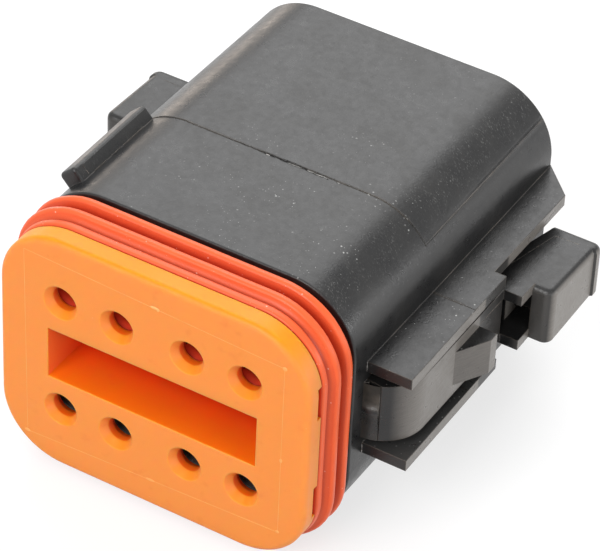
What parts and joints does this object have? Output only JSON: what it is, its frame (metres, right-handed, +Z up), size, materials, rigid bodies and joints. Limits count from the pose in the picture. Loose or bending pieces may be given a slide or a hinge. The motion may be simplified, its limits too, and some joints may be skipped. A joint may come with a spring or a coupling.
{
  "type": "sealed rectangular connector plug",
  "caption": "Sealed rectangular wire-to-wire connector plug with two rows of sockets, an orange wedge lock, a ribbed front seal and side spring latches.",
  "frame": {"origin": "bottom centre of the overall box: mid width, mid length, level with the lowest point, which is the seal's rib crest", "axes": "+X to the right latch seen from above with the mating face towards the viewer, -Y out of the mating face, +Z up on the side with the key rib"},
  "size_m": [0.0424, 0.0374, 0.0237],
  "materials": {
    "black_moulding": "fine moulded satin with scuffs",
    "orange_moulding": "smooth moulded satin",
    "seal_silicone": "smooth silicone, slightly glossy",
    "wire_seal_silicone": "smooth silicone",
    "contact_metal": "turned and plated",
    "hood_steel": "drawn stainless steel"
  },
  "bodies": {
    "plug_body": {"housing": "black_moulding", "front_seal": "seal_silicone", "wire_seal": "wire_seal_silicone", "contact_1": "contact_metal", "contact_2": "contact_metal", "contact_3": "contact_metal", "contact_4": "contact_metal", "contact_5": "contact_metal", "contact_6": "contact_metal", "contact_7": "contact_metal", "contact_8": "contact_metal", "contact_hood_1": "hood_steel", "contact_hood_2": "hood_steel", "contact_hood_3": "hood_steel", "contact_hood_4": "hood_steel", "contact_hood_5": "hood_steel", "contact_hood_6": "hood_steel", "contact_hood_7": "hood_steel", "contact_hood_8": "hood_steel"},
    "wedge": {"wedge_lock": "orange_moulding"},
    "right_latch": {"latch_right": "black_moulding"},
    "left_latch": {"latch_left": "black_moulding"}
  },
  "joints": [
    {"name": "wedge_slide", "type": "slide", "parent": "plug_body", "child": "wedge", "axis": [0, -1, 0], "range_m": [0, 0.0145]},
    {"name": "right_latch_flex", "type": "hinge", "parent": "plug_body", "child": "right_latch", "pos_m": [0.01461, -0.00986, 0.01187], "axis": [0, 0, 1], "range_deg": [0, 4.5], "stiffness_Nm_per_rad": 1.2, "springref_deg": -1.15},
    {"name": "left_latch_flex", "type": "hinge", "parent": "plug_body", "child": "left_latch", "pos_m": [-0.01461, -0.00986, 0.01187], "axis": [0, 0, -1], "range_deg": [0, 4.5], "stiffness_Nm_per_rad": 1.2, "springref_deg": -1.15}
  ]
}
